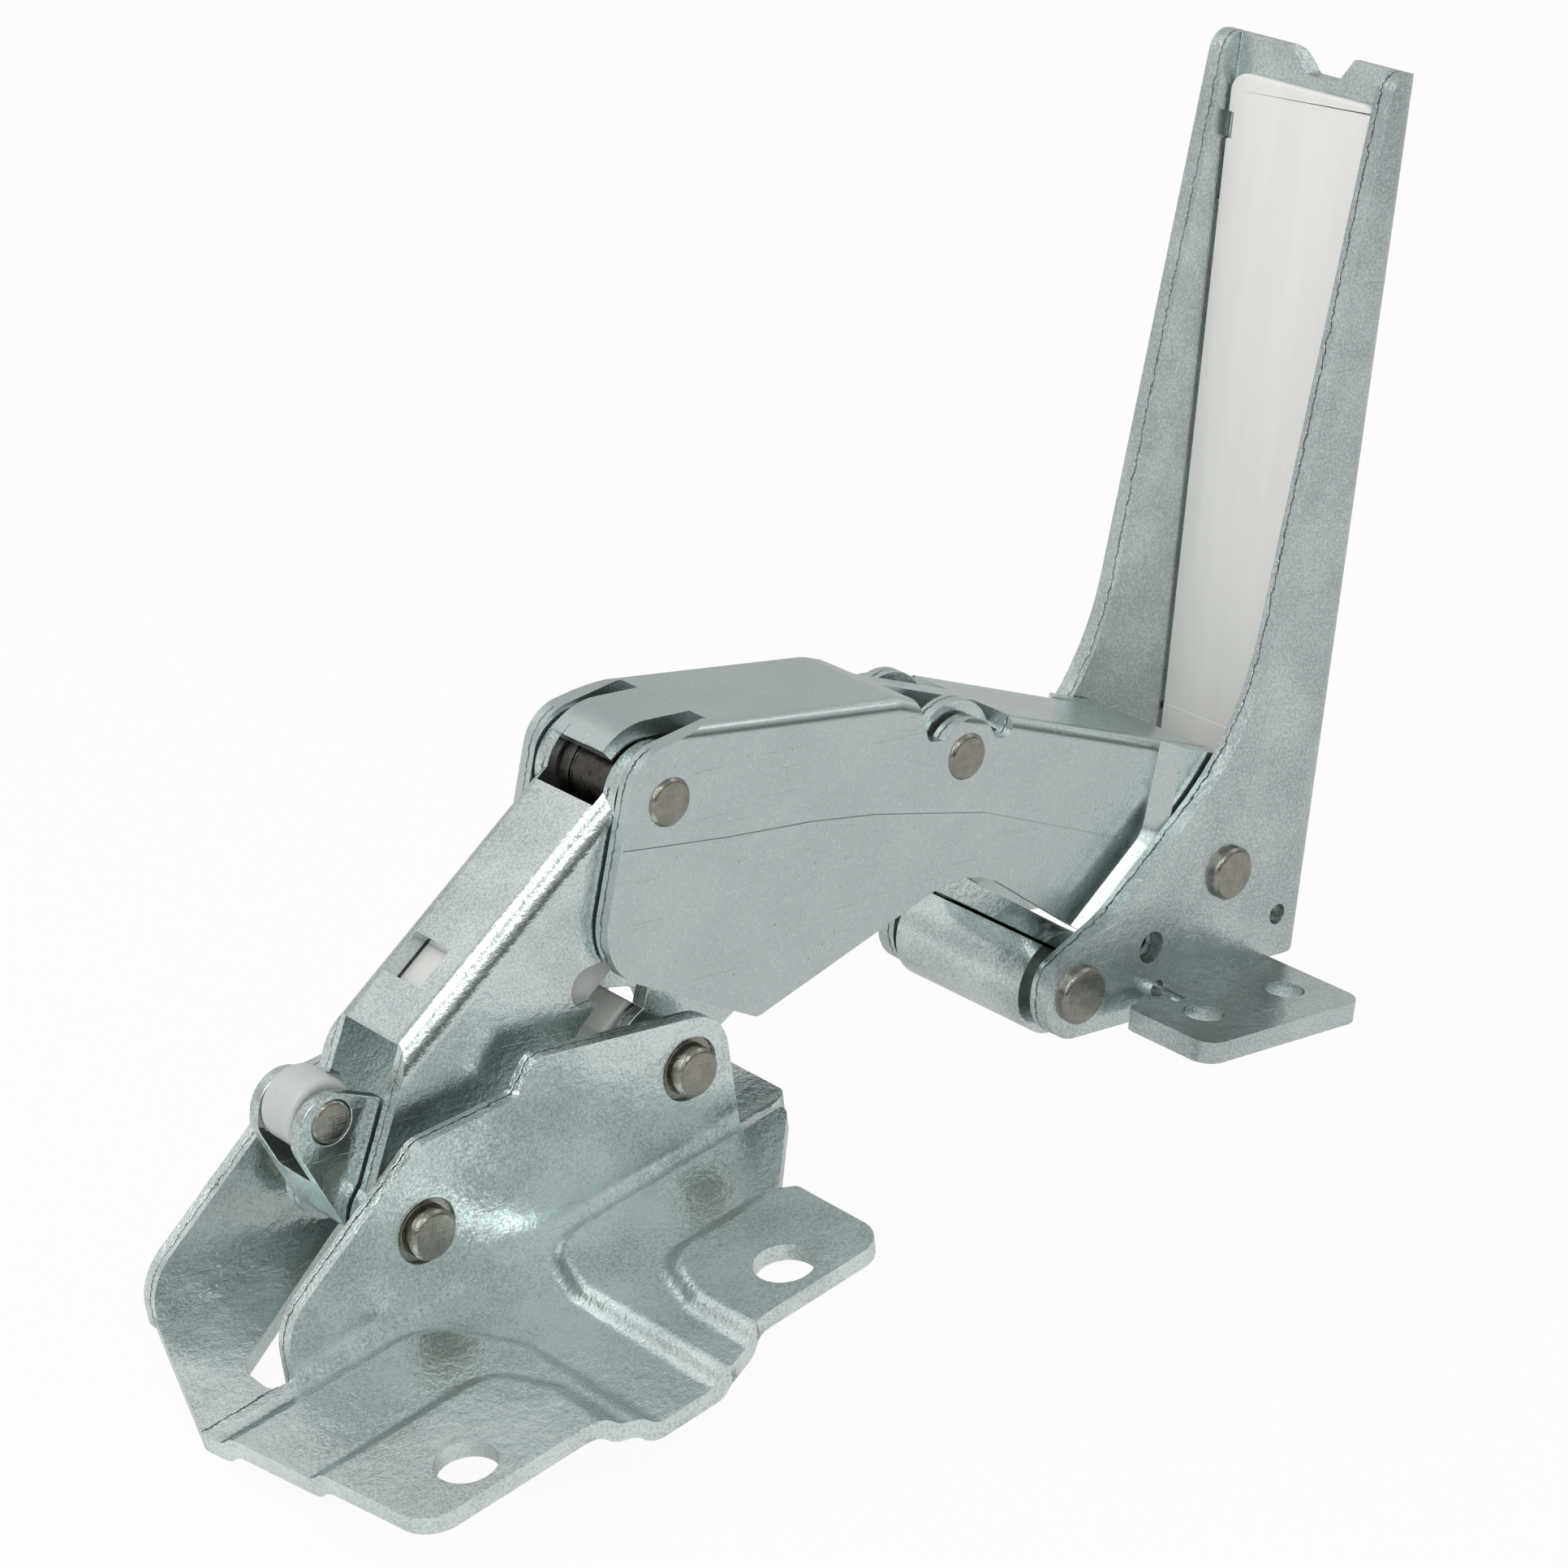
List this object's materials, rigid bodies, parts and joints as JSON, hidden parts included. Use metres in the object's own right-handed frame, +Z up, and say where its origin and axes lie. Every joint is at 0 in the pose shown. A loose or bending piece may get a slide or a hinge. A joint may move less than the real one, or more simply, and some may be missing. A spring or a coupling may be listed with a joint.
{
  "type": "concealed appliance door hinge",
  "caption": "Folding concealed hinge with a channel bracket, a sprung folding arm and a stamped plate that screws to a cabinet door.",
  "frame": {"origin": "midway between the two holes of the mounting tab, on the tab's underside", "axes": "+X along the tab towards the bracket's closed back, +Y across the hinge away from the tab, +Z up the bracket"},
  "size_m": [0.1203, 0.0454, 0.1],
  "materials": {
    "zinc_plate": "bright zinc-plated sheet steel",
    "pin_steel": "turned steel, slightly brown",
    "spring_steel": "dark drawn wire",
    "white_plastic": "off-white moulded plastic",
    "dark_sleeve": "dark moulded plastic"
  },
  "bodies": {
    "bracket": {"bracket": "zinc_plate", "cover_insert": "white_plastic", "main_pin": "pin_steel", "link_pin": "pin_steel"},
    "arm": {"middle_arm": "zinc_plate", "lever_pin": "pin_steel", "elbow_pin": "pin_steel", "elbow_sleeve": "dark_sleeve"},
    "lower": {"lower_arm": "zinc_plate", "closing_spring": "spring_steel"},
    "slider": {"slider": "white_plastic"},
    "door": {"door_plate": "zinc_plate", "yoke": "zinc_plate", "door_front_pin": "pin_steel", "door_rear_pin": "pin_steel", "roller_pin": "pin_steel"},
    "roller": {"roller": "white_plastic"},
    "lever": {"inner_lever": "zinc_plate"},
    "link": {"eye_link": "zinc_plate", "inner_pin": "pin_steel"}
  },
  "joints": [
    {"name": "fold", "type": "hinge", "parent": "bracket", "child": "arm", "pos_m": [0.0028, 0.0169, 0.01175], "axis": [0, 1, 0], "range_deg": [0, 71.5]},
    {"name": "elbow", "type": "hinge", "parent": "arm", "child": "lower", "pos_m": [-0.0623, 0.0169, 0.02865], "axis": [0, 1, 0], "range_deg": [-69.8, 0]},
    {"name": "door_turn", "type": "hinge", "parent": "lower", "child": "door", "pos_m": [-0.08555, 0.0169, -0.0025], "axis": [0, 1, 0], "range_deg": [0, 93.2]},
    {"name": "lever_turn", "type": "hinge", "parent": "arm", "child": "lever", "pos_m": [-0.0287, 0.0169, 0.02685], "axis": [0, 1, 0], "range_deg": [-78.6, 0]},
    {"name": "link_turn", "type": "hinge", "parent": "bracket", "child": "link", "pos_m": [-0.01515, 0.0169, 0.0036], "axis": [0, 1, 0], "range_deg": [0, 68.3]},
    {"name": "slider_travel", "type": "slide", "parent": "lower", "child": "slider", "axis": [0.7332, 0, 0.68], "range_m": [0, 0.004], "stiffness_N_per_m": 2000, "springref_m": -0.004, "deforming": ["closing_spring"]},
    {"name": "roller_spin", "type": "hinge", "parent": "door", "child": "roller", "pos_m": [-0.0915, 0.0169, 0.0061], "axis": [0, 1, 0], "continuous": true}
  ],
  "couplings": [
    {"joint": "elbow", "follows": "fold", "ratio": -0.97555},
    {"joint": "door_turn", "follows": "fold", "ratio": 1.3029},
    {"joint": "lever_turn", "follows": "fold", "ratio": -1.0985},
    {"joint": "link_turn", "follows": "fold", "ratio": 0.95484}
  ]
}
